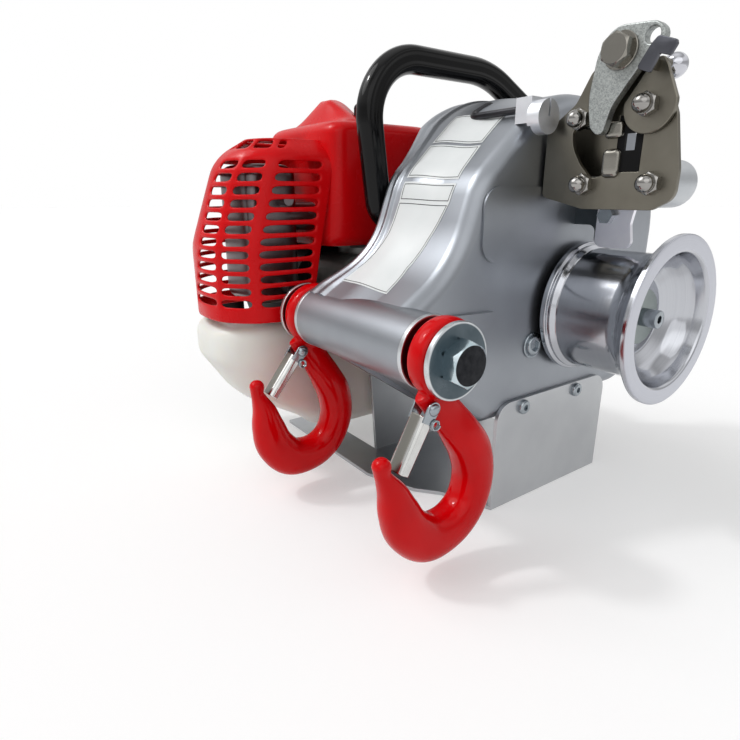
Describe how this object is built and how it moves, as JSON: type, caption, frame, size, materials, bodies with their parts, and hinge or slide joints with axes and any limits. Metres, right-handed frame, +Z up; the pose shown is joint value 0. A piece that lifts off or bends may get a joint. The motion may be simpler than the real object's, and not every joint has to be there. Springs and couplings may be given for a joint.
{
  "type": "capstan winch",
  "caption": "Engine-driven capstan rope winch: gear case with a spool drum, rope gripper, anchor hooks with latches, carrying handle and a folded base.",
  "frame": {"origin": "underside of the base plate, straight below the drum axis", "axes": "+X along the drum axis towards its free end, +Y from the hooks to the back, +Z up"},
  "size_m": [0.3975, 0.3242, 0.3266],
  "materials": {
    "cast_aluminium": "satin cast",
    "polished_aluminium": "mirror polished",
    "stainless": "brushed",
    "zinc_steel": "bright zinc plate",
    "gear_steel": "ground",
    "dark_steel": "dull",
    "forged_red": "gloss paint",
    "black_handle": "gloss",
    "red_plastic": "gloss",
    "cream_plastic": "translucent",
    "black_plastic": "satin",
    "black_rubber": "matt",
    "bright_chrome": "polished",
    "light_alloy": "satin",
    "engine_alloy": "as cast",
    "muffler_steel": "bright"
  },
  "bodies": {
    "winch_body": {"base_bracket": "stainless", "base_screws": "zinc_steel", "gear_housing": "cast_aluminium", "housing_cover": "cast_aluminium", "housing_screws": "zinc_steel", "drain_screw": "zinc_steel", "drum_seal": "black_rubber", "output_bearing": "gear_steel", "gear_shaft_bearings": "gear_steel", "hook_washers": "zinc_steel", "hook_bolt": "zinc_steel", "hook_nut": "zinc_steel", "carry_handle": "black_handle", "guard_rod": "dark_steel", "guard_rod_clamp": "light_alloy", "gripper_front_plate": "stainless", "gripper_rear_plate": "stainless", "gripper_mount_screws": "zinc_steel", "gripper_bolts": "zinc_steel", "gripper_dome_nuts": "bright_chrome", "cam_pivot_bolt": "dark_steel", "jaw_insert": "black_rubber", "rope_guide_fingers": "stainless", "roller_pin": "zinc_steel", "drum_guard_plate": "zinc_steel", "guard_plate_bolt": "zinc_steel", "clutch_housing": "engine_alloy", "crankcase": "engine_alloy", "cylinder_block": "engine_alloy", "starter_housing": "black_plastic", "engine_shroud": "red_plastic", "muffler_cover": "red_plastic", "muffler": "muffler_steel", "fuel_tank": "cream_plastic", "carburettor": "engine_alloy", "air_cleaner_case": "black_plastic"},
    "drum": {"capstan_drum": "polished_aluminium", "output_shaft": "gear_steel", "output_gear": "gear_steel", "drum_washer": "zinc_steel", "drum_bolt": "zinc_steel"},
    "second_countershaft": {"second_countershaft": "gear_steel"},
    "first_countershaft": {"first_countershaft": "gear_steel"},
    "clutch_drum": {"clutch_drum": "gear_steel"},
    "crank": {"crankshaft": "gear_steel", "flywheel": "engine_alloy", "clutch_shoes": "gear_steel"},
    "right_hook": {"right_hook": "forged_red"},
    "left_hook": {"left_hook": "forged_red"},
    "right_latch": {"right_latch": "zinc_steel"},
    "left_latch": {"left_latch": "zinc_steel"},
    "cam_lever": {"cam_lever": "zinc_steel"},
    "release_plate": {"release_plate": "dark_steel"},
    "guide_roller": {"guide_roller": "light_alloy"},
    "throttle_lever": {"throttle_lever": "black_plastic"},
    "choke_lever": {"choke_lever": "black_plastic"},
    "primer_bulb": {"primer_bulb": "black_rubber"},
    "stop_switch": {"stop_switch": "red_plastic"},
    "fuel_cap": {"fuel_cap": "black_plastic"},
    "starter_grip": {"starter_grip": "black_plastic"}
  },
  "joints": [
    {"name": "clutch_drum_spin", "type": "hinge", "parent": "winch_body", "child": "clutch_drum", "pos_m": [-0.07, -0.07815, 0.13391], "axis": [1, 0, 0], "continuous": true},
    {"name": "first_countershaft_spin", "type": "hinge", "parent": "winch_body", "child": "first_countershaft", "pos_m": [0, -0.0706, 0.17675], "axis": [1, 0, 0], "continuous": true},
    {"name": "second_countershaft_spin", "type": "hinge", "parent": "winch_body", "child": "second_countershaft", "pos_m": [0, -0.02309, 0.21002], "axis": [1, 0, 0], "continuous": true},
    {"name": "drum_spin", "type": "hinge", "parent": "winch_body", "child": "drum", "pos_m": [0.06, 0, 0.14659], "axis": [1, 0, 0], "continuous": true},
    {"name": "crank_spin", "type": "hinge", "parent": "winch_body", "child": "crank", "pos_m": [-0.12, -0.07815, 0.13391], "axis": [1, 0, 0], "continuous": true},
    {"name": "right_hook_swing", "type": "hinge", "parent": "winch_body", "child": "right_hook", "pos_m": [0.06175, -0.161, 0.13998], "axis": [1, 0, 0], "range_deg": [-150, 60]},
    {"name": "left_hook_swing", "type": "hinge", "parent": "winch_body", "child": "left_hook", "pos_m": [-0.07875, -0.161, 0.13998], "axis": [1, 0, 0], "range_deg": [-120, 12]},
    {"name": "right_latch_swing", "type": "hinge", "parent": "right_hook", "child": "right_latch", "pos_m": [0.06175, -0.1714, 0.11249], "axis": [1, 0, 0], "range_deg": [0, 28], "stiffness_Nm_per_rad": 0.05, "springref_deg": -28.65},
    {"name": "left_latch_swing", "type": "hinge", "parent": "left_hook", "child": "left_latch", "pos_m": [-0.07875, -0.17557, 0.11445], "axis": [1, 0, 0], "range_deg": [0, 28], "stiffness_Nm_per_rad": 0.05, "springref_deg": -28.65},
    {"name": "cam_lever_swing", "type": "hinge", "parent": "winch_body", "child": "cam_lever", "pos_m": [0.0864, -0.06, 0.29877], "axis": [0, 1, 0], "range_deg": [0, 8], "stiffness_Nm_per_rad": 0.2, "springref_deg": -28.65},
    {"name": "release_plate_swing", "type": "hinge", "parent": "winch_body", "child": "release_plate", "pos_m": [0.10192, -0.055, 0.27155], "axis": [0, 1, 0], "range_deg": [0, 20], "stiffness_Nm_per_rad": 0.2, "springref_deg": -28.65},
    {"name": "guide_roller_spin", "type": "hinge", "parent": "winch_body", "child": "guide_roller", "pos_m": [0.10773, -0.036, 0.23157], "axis": [0, 1, 0], "continuous": true},
    {"name": "throttle_lever_swing", "type": "hinge", "parent": "winch_body", "child": "throttle_lever", "pos_m": [-0.112, -0.08415, 0.28891], "axis": [1, 0, 0], "range_deg": [-25, 25]},
    {"name": "choke_lever_swing", "type": "hinge", "parent": "winch_body", "child": "choke_lever", "pos_m": [-0.119, -0.00215, 0.16291], "axis": [1, 0, 0], "range_deg": [0, 45]},
    {"name": "primer_bulb_press", "type": "slide", "parent": "winch_body", "child": "primer_bulb", "axis": [0, 0, 1], "range_m": [0, 0.004], "stiffness_N_per_m": 200, "springref_m": -0.002},
    {"name": "stop_switch_press", "type": "slide", "parent": "winch_body", "child": "stop_switch", "axis": [-1, 0, 0], "range_m": [0, 0.0025], "stiffness_N_per_m": 400, "springref_m": -0.001},
    {"name": "fuel_cap_turn", "type": "hinge", "parent": "winch_body", "child": "fuel_cap", "pos_m": [-0.235, -0.16715, 0.11991], "axis": [0, 0, 1], "range_deg": [0, 270]},
    {"name": "starter_grip_pull", "type": "slide", "parent": "winch_body", "child": "starter_grip", "axis": [0, 1, 0], "range_m": [0, 0.06]}
  ],
  "couplings": [
    {"joint": "first_countershaft_spin", "follows": "clutch_drum_spin", "ratio": -0.20833},
    {"joint": "second_countershaft_spin", "follows": "clutch_drum_spin", "ratio": 0.043403},
    {"joint": "drum_spin", "follows": "clutch_drum_spin", "ratio": -0.0098643}
  ]
}
